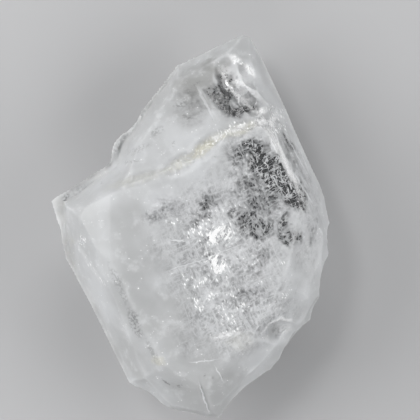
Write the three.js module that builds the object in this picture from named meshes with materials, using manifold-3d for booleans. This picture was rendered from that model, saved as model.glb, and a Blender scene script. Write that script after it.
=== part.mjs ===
// A phenakite crystal: a short six-sided prism of clear to milky crystal, lying on its broad back face.
// The frame is in millimetres. Z points up from the resting face, Y runs along the crystal towards its
// pointed top, and the origin is under the middle of its box, at the height of the resting face.

import * as THREE from 'three';
import { mergeVertices } from 'three/addons/utils/BufferGeometryUtils.js';
import { TessellateModifier } from 'three/addons/modifiers/TessellateModifier.js';
import { ImprovedNoise } from 'three/addons/math/ImprovedNoise.js';
import Module from 'manifold-3d';

// Heights above the resting face
const seamHeight = 4.9; // the front growth ends here, on a back growth that is slightly wider
const seamRise = 0.07; // climb of the seam for each millimetre along X
const broadFaceHeight = 9.2; // the big front face, above the origin
const broadFaceTilt = { x: 0.012, y: 0.02 }; // its climb for each millimetre along X and Y

// The upper face, below the big front face
const ledgeDrop = 0.7;
const upperFaceSlope = 25;
const upperFaceHeading = 115; // the direction in which it falls, counted from X
const ledgeFoot = { x: 2.8, y: 6 }; // a place where the ledge is as high as ledgeDrop

// Edges that several features share, as [x, y]
const leftEdge = [[-4.8, -2.3], [-1.7, -8.4]]; // between the big front face and the long left face
const rightEdge = [[8.2, 2.2], [5.95, 7.35]]; // the outline beside the right prism face
const rightFaceSlope = { front: 67, back: 60 };
const prismHeading = 116; // the direction of the prism's edges, counted from X

// Breaks and marks
const ballDetail = 2.6; // how finely a chip is divided, times the root of its radius
const variety = { place: 0.3, turn: 0.3, size: 0.45, depth: 0.4 }; // how far the chips of a row differ
const grooveWidth = 0.34;
const etchField = { x: 3.9, y: 1.5, across: 3.2, along: 3.9 };
const etchTries = 200;
const etchSpacing = 0.56;
const etchMark = { length: 0.7, width: 0.22, lift: 0.03 }; // its axis lies this far above the face
const etchVariety = { length: 0.45, heading: 12 };
const strayStart = 13; // where the run of stray numbers begins

// Stock and tools
const reach = 60; // side of the blocks that cut the flat faces, well over the crystal's own length
const stockTop = 14; // height of the uncut stock
const overlap = 0.8; // how far the front growth runs down into the back growth
const pastTheTop = [[12, 20], [-15, 20]]; // corners well outside the pointed top
const mergeDistance = 1e-5;

// The slight unevenness that natural faces have
const longestEdge = 1.8; // flat faces are divided until no edge is longer
const mostDivisions = 8;
const waveLength = 3.4;
const waveHeight = 0.12;
const waveGap = 40; // keeps the waves along X, Y and Z apart
const restFade = 0.8; // it fades out over this height, so that the resting face stays flat

const degrees = Math.PI / 180;
const noise = new ImprovedNoise();
const wasm = await Module();
wasm.setup();
THREE.MathUtils.seededRandom(strayStart);

// A number up to a span on either side of zero, another one each time.
function stray(span) {
  return span * (2 * THREE.MathUtils.seededRandom() - 1);
}

// ---- solids ----

function solidFrom(geometry) {
  geometry.deleteAttribute('normal');
  geometry.deleteAttribute('uv');
  const merged = mergeVertices(geometry, mergeDistance);
  const vertProperties = Float32Array.from(merged.attributes.position.array);
  const triVerts = Uint32Array.from(merged.index.array);
  return new wasm.Manifold(new wasm.Mesh({ numProp: 3, vertProperties, triVerts }));
}

function geometryFrom(solid) {
  const mesh = solid.getMesh();
  const geometry = new THREE.BufferGeometry();
  geometry.setAttribute('position', new THREE.BufferAttribute(mesh.vertProperties, 3));
  geometry.setIndex(new THREE.BufferAttribute(mesh.triVerts, 1));
  return geometry;
}

// A straight-sided block that stands on an outline of [x, y] corners.
function standing(outline, bottom, top) {
  const shape = new THREE.Shape(outline.map(([x, y]) => new THREE.Vector2(x, y)));
  const block = new THREE.ExtrudeGeometry(shape, { depth: top - bottom, bevelEnabled: false });
  block.translate(0, 0, bottom);
  return solidFrom(block);
}

// All that lies on the side of a plane that its normal points to.
function beyond(point, normal) {
  const block = new THREE.BoxGeometry(reach, reach, reach);
  block.translate(0, 0, reach / 2);
  block.lookAt(normal);
  block.translate(point.x, point.y, point.z);
  return solidFrom(block);
}

// A ball that is drawn out along a heading in the XY plane.
function ball(centre, radius, stretch, heading) {
  const shape = new THREE.IcosahedronGeometry(radius, Math.ceil(Math.sqrt(radius) * ballDetail));
  shape.scale(stretch, 1, 1);
  shape.rotateZ(heading * degrees);
  shape.translate(centre.x, centre.y, centre.z);
  return solidFrom(shape);
}

// A slender four-sided spindle with a point at each end.
function spindle(start, end, width) {
  const shape = new THREE.OctahedronGeometry(0.5);
  shape.scale(start.distanceTo(end), width, width);
  const turn = new THREE.Quaternion();
  turn.setFromUnitVectors(new THREE.Vector3(1, 0, 0), end.clone().sub(start).normalize());
  shape.applyQuaternion(turn);
  const middle = start.clone().lerp(end, 0.5);
  shape.translate(middle.x, middle.y, middle.z);
  return solidFrom(shape);
}

// ---- the main planes ----

function seamAt(x) {
  return seamHeight + seamRise * x;
}

function broadFaceAt(x, y) {
  return broadFaceHeight + broadFaceTilt.x * x + broadFaceTilt.y * y;
}

function upperFaceAt(x, y) {
  const heading = upperFaceHeading * degrees;
  const travel = (x - ledgeFoot.x) * Math.cos(heading) + (y - ledgeFoot.y) * Math.sin(heading);
  const start = broadFaceAt(ledgeFoot.x, ledgeFoot.y) - ledgeDrop;
  return start - travel * Math.tan(upperFaceSlope * degrees);
}

// The normal of a face that leans at a slope from an edge, facing up (1) or down (-1). The crystal is
// on the left of the edge.
function leaningNormal(start, end, slope, facing) {
  const along = end.clone().sub(start).normalize();
  const normal = new THREE.Vector3(along.y, -along.x, 0).normalize();
  normal.multiplyScalar(Math.sin(slope * degrees));
  normal.z = facing * Math.cos(slope * degrees);
  return normal.addScaledVector(along, -normal.dot(along)).normalize();
}

// ---- growth: two lumps, each with a front outline and a slightly wider back outline ----
// An outline runs counterclockwise as { at: [x, y], front, back, rise }: the slopes of the front and back
// faces that follow the corner, and how far the corner stands above the seam.

const trunkRim = [
  { at: [-6.95, -3.4], front: 66, back: 60, rise: 0 },
  { at: [-3.7, -9.7], front: 68, back: 50, rise: 0.7 },
  { at: [-1.2, -11.3], front: 68, back: 54, rise: 1.2 },
  { at: [0.9, -11.85], front: 70, back: 52, rise: 1.2 },
  { at: [1.9, -11.8], front: 67, back: 58, rise: 0.9 },
  { at: [5.3, -8.85], front: 66, back: 54, rise: 0.3 },
  { at: [7.3, -6.3], front: 68, back: 60, rise: 0.7 },
  { at: [8.2, -4.3], front: 68, back: 62, rise: 1.1 },
  { at: [8.65, -1.2], front: 71, back: 64, rise: 0.7 },
  { at: [8.65, 0], front: 70, back: 60, rise: 0.4 },
  { at: [7.8, 4.2], front: 70, back: 60, rise: 0 },
  { at: [6.8, 5.9], front: 76, back: 50, rise: 0 },
];
const trunkFront = [
  { at: [-7.85, 1.5], front: 80, rise: 0 },
  { at: [-7.7, -0.5], front: 74, rise: 0 },
  ...trunkRim,
  { at: [4.0, 9.3], front: 76, rise: 0 },
];
const trunkBack = [
  { at: [-8.6, 1.45], back: 56, rise: 0 },
  { at: [-7.6, -2.1], back: 62, rise: 0 },
  ...trunkRim,
  { at: [4.0, 9.4], back: 50, rise: 0 },
  { at: [-8.3, 1.75], back: 58, rise: 0 },
];

const topRim = [
  { at: [0.5, -3.4], front: 88, back: 88, rise: 0 },
  { at: [3.6, 0.5], front: 88, back: 88, rise: 0 },
  { at: [7.2, 3.9], front: 60, back: 60, rise: 0 },
  { at: [7.05, 5.15], front: 60, back: 54, rise: 0 },
  { at: [3.95, 11.35], front: 60, back: 54, rise: 0 },
  { at: [3.7, 11.7], front: 60, back: 50, rise: 0.1 },
  { at: [3.2, 11.8], front: 66, back: 48, rise: 0.1 },
];
const topFront = [
  { at: [-5.86, 0.35], front: 88, rise: 0 },
  ...topRim,
  { at: [-0.75, 9.85], front: 74, rise: 0 },
  { at: [-3.9, 5.5], front: 76, rise: 0 },
];
const topBack = [
  { at: [-6.5, 0.55], back: 88, rise: 0 },
  ...topRim,
  { at: [-0.8, 9.95], back: 52, rise: 0 },
  { at: [-4.15, 5.65], back: 58, rise: 0 },
];

function cornerPoint({ at: [x, y], rise }) {
  return new THREE.Vector3(x, y, seamAt(x) + rise);
}

// Cuts one leaning face through the line from a start to an end.
function cutFace(solid, start, end, slope, facing) {
  return solid.subtract(beyond(start, leaningNormal(start, end, slope, facing)));
}

// Cuts one leaning face through each edge of an outline.
function cutSides(solid, outline, side, facing) {
  outline.forEach((corner, index) => {
    const end = cornerPoint(outline[(index + 1) % outline.length]);
    solid = cutFace(solid, cornerPoint(corner), end, corner[side], facing);
  });
  return solid;
}

// The right prism face runs through both lumps, in front and behind.
function cutRightFace(solid) {
  const [low, high] = rightEdge.map(([x, y]) => new THREE.Vector3(x, y, seamAt(x)));
  return cutFace(cutFace(solid, low, high, rightFaceSlope.front, 1), low, high, rightFaceSlope.back, -1);
}

function lump(front, back) {
  const seamMiddle = new THREE.Vector3(0, 0, seamHeight);
  const seamNormal = new THREE.Vector3(-seamRise, 0, 1).normalize();
  const backStock = standing(back.map((corner) => corner.at), 0, stockTop);
  const frontStock = standing(front.map((corner) => corner.at), seamHeight - overlap, stockTop);
  const backGrowth = backStock.subtract(beyond(seamMiddle, seamNormal));
  const frontGrowth = cutSides(frontStock, front, 'front', 1);
  return cutSides(frontGrowth.add(backGrowth), back, 'back', -1);
}

// ---- the flat faces of the front ----
// Each hinges on a line that lies a little below the big front face and falls away from it at a slope.
// The crystal is on the left of the line.

const fallingFaces = [
  { from: [-4.9, 2.4], to: [-4.8, -2.3], below: 0, slope: 24 }, // left corner
  { from: leftEdge[0], to: leftEdge[1], below: 0, slope: 43 }, // long left face
  { from: [-1.7, -8.4], to: [1.4, -9.0], below: 0, slope: 24 }, // foot
  { from: [1.4, -9.0], to: [4.4, -6.2], below: 0, slope: 20 }, // broken lower right
  { from: [4.4, -6.2], to: [6.0, -2.4], below: 0, slope: 22 },
  { from: [6.0, -2.4], to: [6.7, 1.4], below: 0, slope: 24 },
  { from: [-2.6, -9.2], to: [0.4, -10.4], below: 1.1, slope: 48 },
  { from: [1.6, -10.6], to: [4.8, -7.9], below: 1.1, slope: 46 },
  { from: [5.0, -7.7], to: [7.0, -4.5], below: 1.2, slope: 48 },
  { from: [7.2, -4.2], to: [7.7, -1.0], below: 1.3, slope: 50 },
];

function cutFallingFaces(solid) {
  fallingFaces.forEach(({ from, to, below, slope }) => {
    const start = new THREE.Vector3(...from, broadFaceAt(...from) - below);
    const end = new THREE.Vector3(...to, broadFaceAt(...to) - below);
    solid = cutFace(solid, start, end, slope, 1);
  });
  return solid;
}

// The same for the back, where each hinges on a line a little above the resting face.
const risingFaces = [
  { from: [-3.4, -6.4], to: [2.6, -7.4], height: 0.9, slope: 34 }, // heel
  { from: [2.4, -7.6], to: [6.0, -3.0], height: 1.5, slope: 40 },
  { from: [5.3, -3.2], to: [6.1, 2.6], height: 1.2, slope: 44 },
  { from: [3.4, 6.2], to: [-1.6, 5.0], height: 1.1, slope: 33 }, // under the pointed top
  { from: [-4.2, 3.4], to: [-6.2, -1.6], height: 1.6, slope: 36 },
];

function cutRisingFaces(solid) {
  risingFaces.forEach(({ from, to, height, slope }) => {
    const start = new THREE.Vector3(...from, height);
    const end = new THREE.Vector3(...to, height);
    solid = cutFace(solid, start, end, slope, -1);
  });
  return solid;
}

function cutBroadFace(solid) {
  const normal = new THREE.Vector3(-broadFaceTilt.x, -broadFaceTilt.y, 1).normalize();
  return solid.subtract(beyond(new THREE.Vector3(0, 0, broadFaceHeight), normal));
}

// ---- the upper face and the ledge up to the big front face ----

const ledgeLine = [
  [-9.5, 1.2],
  [-7.9, 1.5],
  [-6.3, 1.9],
  [-4.9, 2.4],
  [-3.2, 2.8],
  [-1.6, 3.3],
  [-0.8, 3.9],
  [0.3, 4.4],
  [0.9, 5.0],
  [1.7, 5.3],
  [2.2, 5.9],
  [3.3, 6.0],
  [4.5, 6.3],
  [5.2, 7.2],
  [7.5, 7.6],
];
const upperEdge = [[4.3, 6.5], [2.2, 10.6]]; // its broken right edge
const topRightSlope = 27;

function cutUpperFace(solid) {
  const above = standing([...ledgeLine, ...pastTheTop], 0, stockTop);
  const heading = upperFaceHeading * degrees;
  const slope = upperFaceSlope * degrees;
  const across = Math.sin(slope);
  const normal = new THREE.Vector3(Math.cos(heading) * across, Math.sin(heading) * across, Math.cos(slope));
  const foot = new THREE.Vector3(ledgeFoot.x, ledgeFoot.y, upperFaceAt(ledgeFoot.x, ledgeFoot.y));
  const [low, high] = upperEdge.map(([x, y]) => new THREE.Vector3(x, y, upperFaceAt(x, y)));
  const upperCut = beyond(foot, normal).add(beyond(low, leaningNormal(low, high, topRightSlope, 1)));
  return solid.subtract(above.intersect(upperCut));
}

// ---- the slight unevenness ----

// Where a point of the even crystal comes to lie on the uneven one.
function uneven(point) {
  const at = point.clone().divideScalar(waveLength);
  const height = THREE.MathUtils.smoothstep(point.z, 0, restFade) * waveHeight;
  const sway = new THREE.Vector3(
    noise.noise(at.x, at.y, at.z),
    noise.noise(at.x, at.y + waveGap, at.z),
    noise.noise(at.x, at.y, at.z + waveGap),
  );
  return sway.multiplyScalar(height).add(point);
}

// Divides the flat faces and moves every corner a little.
function roughen(solid) {
  const divided = new TessellateModifier(longestEdge, mostDivisions).modify(geometryFrom(solid));
  const position = divided.attributes.position;
  for (let index = 0; index < position.count; index += 1) {
    const moved = uneven(new THREE.Vector3().fromBufferAttribute(position, index));
    position.setXYZ(index, moved.x, moved.y, moved.z);
  }
  return solidFrom(divided);
}

// ---- broken edges ----
// A chip is the shell-shaped hollow of a ball that has sunk to a depth at a place, coming from a side.

const chips = [
  // along the rounded right side, where the outline is scalloped
  { at: [8.75, -0.8, 5.6], from: [1, -0.05, 0.2], radius: 2.6, depth: 0.28 },
  { at: [8.5, -2.7, 6.4], from: [1, -0.3, 0.1], radius: 4.6, depth: 0.3 },
  { at: [7.95, -4.8, 6.1], from: [1, -0.45, -0.3], radius: 2.4, depth: 0.3 },
  { at: [6.75, -7.0, 5.6], from: [0.8, -0.7, 0.2], radius: 4.4, depth: 0.34 },
  { at: [5.8, -8.4, 5.6], from: [0.6, -0.9, -0.2], radius: 1.9, depth: 0.22 },
  { at: [3.8, -10.1, 5.7], from: [0.6, -0.8, -0.1], radius: 5.2, depth: 0.44 },
  // along the rim above it
  { at: [7.3, -2.6, 8.2], from: [1, -0.1, 1.1], radius: 9.0, depth: 0.22 },
  { at: [6.5, -5.6, 8.0], from: [0.9, -0.5, 1.1], radius: 6.0, depth: 0.3 },
  { at: [4.9, -8.1, 7.9], from: [0.6, -0.7, 1.1], radius: 8.0, depth: 0.24 },
  // foot
  { at: [0.0, -11.6, 6.4], from: [-0.1, -1, 0.3], radius: 3.0, depth: 0.2 },
  { at: [-2.6, -10.4, 5.4], from: [-0.5, -0.9, 0.1], radius: 2.6, depth: 0.15 },
  // left corner
  { at: [-8.1, -0.6, 4.4], from: [-1, -0.1, 0.2], radius: 2.0, depth: 0.2 },
  { at: [-7.6, 0.9, 7.1], from: [-1, 0.5, 0.9], radius: 3.6, depth: 0.3 },
  // left side of the pointed top
  { at: [-3.5, 6.3, 5.0], from: [-0.8, 0.6, 0.1], radius: 2.4, depth: 0.2 },
  { at: [-1.9, 7.9, 6.6], from: [-0.7, 0.6, 0.9], radius: 5.0, depth: 0.2 },
  { at: [1.1, 10.7, 5.7], from: [-0.4, 0.9, 0.7], radius: 3.4, depth: 0.2 },
  // back
  { at: [2.0, -8.2, 2.0], from: [0.3, -0.8, -1], radius: 12.0, depth: 0.2 },
  { at: [5.9, -5.0, 2.7], from: [0.9, -0.6, -0.9], radius: 9.0, depth: 0.3 },
  { at: [-4.2, -6.0, 1.4], from: [-0.7, -0.6, -1], radius: 8.0, depth: 0.25 },
];

const scars = [
  { at: [5.5, -6.3, 8.6], from: [0.45, -0.3, 0.8], radius: 3.2, depth: 0.2, stretch: 1.2, heading: 10 },
  { at: [3.5, 10.0, 6.7], from: [0.4, 0.5, 1], radius: 3.4, depth: 0.14, stretch: 1.4, heading: 116 },
  { at: [4.6, 8.2, 7.4], from: [0.6, 0.4, 1], radius: 3.8, depth: 0.18, stretch: 1.3, heading: 120 },
];

const pits = [
  { at: [-7.85, 1.55, 6.9], from: [-0.6, 0.7, 0.5], radius: 0.35, depth: 0.2 },
  { at: [-5.5, 2.35, 8.2], from: [-0.3, 0.8, 0.9], radius: 0.3, depth: 0.15 },
  { at: [-0.6, -9.7, 8.2], from: [-0.3, -0.6, 0.8], radius: 0.2, depth: 0.12 },
  { at: [0.5, -9.2, 8.82], from: [0, -0.4, 1], radius: 0.22, depth: 0.12 },
  { at: [1.1, -9.3, 8.8], from: [0, -0.4, 1], radius: 0.26, depth: 0.12 },
  { at: [1.6, -9.25, 8.8], from: [0.1, -0.4, 1], radius: 0.2, depth: 0.1 },
];

function chip(solid, { at, from, radius, depth, stretch = 1, heading = 0 }) {
  const centre = new THREE.Vector3(...from).normalize().multiplyScalar(radius - depth);
  centre.add(new THREE.Vector3(...at));
  return solid.subtract(ball(centre, radius, stretch, heading));
}

// A row of small chips, no two alike, follows a line of [x, y] places on a face.
const chipRows = [
  {
    line: ledgeLine.slice(6, -2),
    face: broadFaceAt,
    count: 8,
    from: [-0.3, 0.8, 0.75],
    radius: 1.1,
    depth: 0.24,
  },
  {
    line: leftEdge,
    face: broadFaceAt,
    count: 8,
    from: [-0.5, -0.3, 1],
    radius: 0.6,
    depth: 0.09,
    stretch: 1.8,
  },
  {
    line: upperEdge,
    face: upperFaceAt,
    count: 6,
    from: [0.3, 0.1, 1],
    radius: 0.9,
    depth: 0.16,
    stretch: 1.5,
  },
];

function chipAlong(solid, { line, face, count, from, radius, depth, stretch = 1 }) {
  const curve = new THREE.CatmullRomCurve3(line.map(([x, y]) => new THREE.Vector3(x, y, face(x, y))));
  for (let index = 0; index < count; index += 1) {
    solid = chip(solid, {
      at: curve.getPointAt((index + 0.5 + stray(variety.place)) / count).toArray(),
      from: [from[0] + stray(variety.turn), from[1] + stray(variety.turn), from[2]],
      radius: radius * (1 + stray(variety.size)),
      depth: depth * (1 + stray(variety.depth)),
      stretch,
      heading: prismHeading,
    });
  }
  return solid;
}

// Low splinters stand on the broken right edge of the upper face.
const splinters = [
  { from: [2.05, 10.75, 6.3], to: [2.75, 9.55, 6.95], width: 0.5 },
  { from: [3.3, 10.2, 6.3], to: [4.0, 9.1, 6.8], width: 0.42 },
  { from: [2.7, 8.5, 7.3], to: [3.5, 7.5, 8.0], width: 0.5 },
];

function addSplinters(solid) {
  splinters.forEach(({ from, to, width }) => {
    solid = solid.add(spindle(new THREE.Vector3(...from), new THREE.Vector3(...to), width));
  });
  return solid;
}

function breakEdges(solid) {
  [...chips, ...scars, ...pits].forEach((place) => {
    solid = chip(solid, place);
  });
  solid = addSplinters(solid);
  chipRows.forEach((row) => {
    solid = chipAlong(solid, row);
  });
  return solid;
}

// ---- growth lines and etched needles ----

const rightGrooves = [
  { from: 0.05, to: 0.8, inset: 0.3 },
  { from: 0.4, to: 1.15, inset: 0.6 },
  { from: 0.1, to: 0.7, inset: 0.9 },
  { from: 0.5, to: 1.2, inset: 1.15 },
  { from: 0.25, to: 0.85, inset: 1.4 },
  { from: 0.65, to: 1.0, inset: 1.65 },
];

// A place on the right prism face, by its share of the way up the edge and its distance in from the edge.
function onRightFace(share, inset) {
  const [low, high] = rightEdge.map(([x, y]) => new THREE.Vector3(x, y, seamAt(x)));
  const along = high.clone().sub(low).normalize();
  const point = low.clone().lerp(high, share);
  point.x -= along.y * inset;
  point.y += along.x * inset;
  point.z += Math.tan(rightFaceSlope.front * degrees) * inset;
  return point;
}

// Long grooves follow the prism's edge on its right face.
function grooveRightFace(solid) {
  rightGrooves.forEach(({ from, to, inset }) => {
    solid = solid.subtract(spindle(onRightFace(from, inset), onRightFace(to, inset), grooveWidth));
  });
  return solid;
}

// Needle-shaped etch marks lie in three directions on the big front face, clear of each other.
function etchBroadFace(solid) {
  const middles = [];
  for (let index = 0; index < etchTries; index += 1) {
    const turn = stray(Math.PI);
    const spread = Math.sqrt(Math.abs(stray(1)));
    const x = etchField.x + etchField.across * spread * Math.cos(turn);
    const y = etchField.y + etchField.along * spread * Math.sin(turn);
    const heading = (prismHeading + 60 * (index % 3) + stray(etchVariety.heading)) * degrees;
    const half = (etchMark.length / 2) * (1 + stray(etchVariety.length));
    const middle = uneven(new THREE.Vector3(x, y, broadFaceAt(x, y)));
    middle.z += etchMark.lift;
    if (middles.every((other) => other.distanceTo(middle) > etchSpacing)) {
      const step = new THREE.Vector3(Math.cos(heading) * half, Math.sin(heading) * half, 0);
      solid = solid.subtract(spindle(middle.clone().sub(step), middle.clone().add(step), etchMark.width));
      middles.push(middle);
    }
  }
  return solid;
}

// ---- the crystal ----

function crystalSolid() {
  const grown = cutRightFace(lump(trunkFront, trunkBack).add(lump(topFront, topBack)));
  const faced = cutUpperFace(cutFallingFaces(cutRisingFaces(cutBroadFace(grown))));
  return etchBroadFace(grooveRightFace(breakEdges(roughen(faced))));
}

const clearStone = new THREE.MeshStandardMaterial({
  name: 'phenakite',
  color: 0xc6c8c8,
  roughness: 0.25,
  metalness: 0,
});

const crystal = new THREE.Mesh(geometryFrom(crystalSolid()), clearStone);
crystal.geometry.computeBoundingBox();
const middle = crystal.geometry.boundingBox.getCenter(new THREE.Vector3());
crystal.geometry.translate(-middle.x, -middle.y, 0);
crystal.geometry.computeVertexNormals();
crystal.name = 'crystal';

const group = new THREE.Group();
group.add(crystal);

export default group;
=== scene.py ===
import math

import bpy
import numpy as np
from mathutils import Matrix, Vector, noise


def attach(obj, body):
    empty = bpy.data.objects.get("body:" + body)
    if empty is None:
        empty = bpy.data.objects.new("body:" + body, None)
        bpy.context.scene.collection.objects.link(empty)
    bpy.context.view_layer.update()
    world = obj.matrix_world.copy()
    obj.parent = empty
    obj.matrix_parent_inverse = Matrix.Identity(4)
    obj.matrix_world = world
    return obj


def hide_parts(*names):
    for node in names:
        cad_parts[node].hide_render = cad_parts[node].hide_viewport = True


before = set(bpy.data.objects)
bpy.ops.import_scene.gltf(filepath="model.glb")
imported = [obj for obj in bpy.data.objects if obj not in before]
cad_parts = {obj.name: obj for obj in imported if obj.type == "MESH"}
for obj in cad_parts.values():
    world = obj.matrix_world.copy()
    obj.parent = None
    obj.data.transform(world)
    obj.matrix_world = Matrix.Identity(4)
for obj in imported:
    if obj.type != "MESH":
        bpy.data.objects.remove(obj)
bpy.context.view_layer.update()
noise.seed_set(5)

mm = 0.001  # one millimetre, in Blender's metres
prismHeading = 116  # the way the prism's edges run, in degrees from X


def deselectAll():
    if bpy.context.object and bpy.context.object.mode != "OBJECT":
        bpy.ops.object.mode_set(mode="OBJECT")
    bpy.ops.object.select_all(action="DESELECT")


def makeActive(piece):
    deselectAll()
    piece.select_set(True)
    bpy.context.view_layer.objects.active = piece


def applyModifier(piece, modifier):
    makeActive(piece)
    bpy.ops.object.modifier_apply(modifier=modifier.name)


def vertexPlaces(piece):
    # in millimetres
    places = np.zeros(len(piece.data.vertices) * 3)
    piece.data.vertices.foreach_get("co", places)
    return places.reshape(-1, 3) / mm


def fadeIn(values, start, width):
    # 0 up to the start, then rising to 1 over the width; a negative width fades in downwards
    return np.clip((values - start) / width, 0, 1)


def softStep(share):
    return share * share * (3 - 2 * share)


def patchShare(places, patches, inner=0.7, outer=1.3):
    # each patch's strength in its middle, falling to 0 at its rim
    best = np.zeros(len(places))
    for patch in patches:
        turn = math.radians(patch["turn"])
        offset = places - np.array(patch["centre"])
        along = offset[:, 0] * math.cos(turn) + offset[:, 1] * math.sin(turn)
        across = offset[:, 1] * math.cos(turn) - offset[:, 0] * math.sin(turn)
        turned = np.stack((along, across, offset[:, 2]), axis=1) / np.array(patch["radii"])
        share = fadeIn(np.linalg.norm(turned, axis=1), outer, inner - outer)
        best = np.maximum(best, patch.get("strength", 1.0) * softStep(share))
    return best


def cloudShare(places, size, low, high):
    # patches scattered by noise, none of them placed by hand
    level = np.array([noise.noise(Vector(place / size)) for place in places])
    return softStep(fadeIn(level, low, high - low))


def drifted(places, size, reach):
    # the places moved about by noise, so that a patch gets a ragged rim
    moved = [place + reach * np.array(noise.noise_vector(Vector(place / size))) for place in places]
    return np.array(moved)


def ridgeHeights(piece, rounds):
    # how far each point stands out from its surroundings, in millimetres
    places = vertexPlaces(piece)
    ends = np.zeros(len(piece.data.edges) * 2, dtype=np.int32)
    piece.data.edges.foreach_get("vertices", ends)
    first, second = ends.reshape(-1, 2).T
    neighbours = np.bincount(ends, minlength=len(places))[:, None]
    smooth = places.copy()
    for _ in range(rounds):
        total = smooth.copy()
        for axis in range(3):
            total[:, axis] += np.bincount(first, smooth[second, axis], len(places))
            total[:, axis] += np.bincount(second, smooth[first, axis], len(places))
        smooth = total / (neighbours + 1)
    normals = np.zeros(len(places) * 3)
    piece.data.vertex_normals.foreach_get("vector", normals)
    return ((places - smooth) * normals.reshape(-1, 3)).sum(axis=1)


def addVertexGroup(piece, name, shares):
    group = piece.vertex_groups.new(name=name)
    for index in np.nonzero(shares > 0.01)[0]:
        group.add([int(index)], float(shares[index]), "REPLACE")


def storeShare(piece, name, shares):
    attribute = piece.data.attributes.new(name, "FLOAT", "POINT")
    attribute.data.foreach_set("value", shares.astype(np.float32))


def rubSmooth(piece, rounds, group=""):
    modifier = piece.modifiers.new("rubbed", "SMOOTH")
    modifier.factor = 0.5
    modifier.iterations = rounds
    modifier.vertex_group = group
    applyModifier(piece, modifier)


def pressRelief(piece, texture, depth, group, ruler=None):
    # the relief only cuts inwards, so the stone never grows; without a texture it is an even dent
    modifier = piece.modifiers.new("relief", "DISPLACE")
    modifier.texture = texture
    modifier.strength = depth * mm
    modifier.mid_level = 1.0 if texture else 2.0
    modifier.vertex_group = group
    modifier.texture_coords = "LOCAL"
    if ruler:
        modifier.texture_coords = "OBJECT"
        modifier.texture_coords_object = ruler
    applyModifier(piece, modifier)


def pressClouds(piece, relief, group, kind="SOFT_NOISE", detail=1):
    texture = bpy.data.textures.new(group, "CLOUDS")
    texture.noise_type = kind
    texture.noise_scale = relief["size"] * mm
    texture.noise_depth = detail
    pressRelief(piece, texture, relief["depth"], group)


def pressCells(piece, relief, group):
    texture = bpy.data.textures.new(group, "VORONOI")
    texture.distance_metric = "DISTANCE"
    texture.noise_scale = relief["size"] * mm
    texture.noise_intensity = 1.0
    pressRelief(piece, texture, relief["depth"], group)


def pressStreaks(piece, streaks, heading, depths):
    # an empty lays the streaks out along the heading, and goes once they are cut
    bpy.ops.object.empty_add(rotation=(0, 0, math.radians(heading - 90)))
    ruler = bpy.context.object
    ruler.scale = (streaks["size"] * mm, streaks["length"] * mm, streaks["reach"] * mm)
    bpy.context.view_layer.update()
    texture = bpy.data.textures.new("streaks", "CLOUDS")
    texture.noise_scale = 1.0
    texture.noise_depth = 2
    for group, depth in depths.items():
        pressRelief(piece, texture, depth, group, ruler)
    bpy.data.objects.remove(ruler)


def closePinches():
    # the rebuilt mesh touches itself in a few tiny places; they are cut out and filled again
    bpy.ops.object.mode_set(mode="EDIT")
    bpy.ops.mesh.select_mode(type="VERT")
    bpy.ops.mesh.select_all(action="DESELECT")
    bpy.ops.mesh.select_non_manifold()
    bpy.ops.mesh.delete(type="VERT")
    bpy.ops.mesh.select_all(action="SELECT")
    bpy.ops.mesh.delete_loose()
    bpy.ops.mesh.select_all(action="SELECT")
    bpy.ops.mesh.fill_holes(sides=0)
    bpy.ops.mesh.select_face_by_sides(number=4, type="GREATER", extend=False)
    bpy.ops.mesh.quads_convert_to_tris()
    bpy.ops.object.mode_set(mode="OBJECT")


# the stone's surface, sizes, heights and depths in millimetres
stoneShape = {
    "remesh": {"octree": 8, "scale": 0.84},  # one step more in the octree halves the squares
    "edgeWear": 5,  # rounds of rubbing, which take the sharpness off every edge
    "blending": 320,  # rounds of rubbing where an edge fades away
    "restHeight": 0.05,  # what lies under this is pressed level
    "floorGap": {"start": 0.15, "width": 0.8},  # the relief fades in above the table
    "sharpRidges": {"rounds": 14, "height": 0.07},  # a ridge this high keeps free of waves and pits
    "leftCorner": {"start": -8.0, "width": 0.8},  # so does the thin corner on the left
    "lowerSides": {"start": 6.4, "width": -1.5},  # the sides are what lies under this height
    "swells": {"size": 2.4, "depth": 0.10},  # soft waves on every face
    "scallops": {"size": 1.5, "depth": 0.10},  # shell-shaped chips on the worn right side
    "splinters": {"size": 0.30, "depth": 0.18},  # broken ledge and ridge
    "scar": {"depth": 0.55},  # a shell-shaped scoop low on the right
    "lumps": {"size": 0.75, "depth": 0.42, "rubbing": 8},  # knobbly ridge below the tip
    "etching": {"size": 0.36, "depth": 0.11},  # rough ground in the clear windows
    "pits": {"size": 0.9, "depth": 0.05},  # shallow dents on the sides and underneath
    "scratches": {"depth": 0.09},
    "flap": {"height": 0.45},  # a thin raised chip behind the upper left edge
    # fine streaks across the etching, then growth lines along the prism
    "fibres": {"size": 0.24, "length": 1.2, "reach": 0.96, "depth": 0.09, "heading": 60},
    "growthLines": {"size": 0.42, "length": 17, "reach": 1.68, "depth": 0.09, "sideDepth": 0.06},
    "smoothAngle": 35,  # an edge that bends less than this is shaded smooth
}

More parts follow.
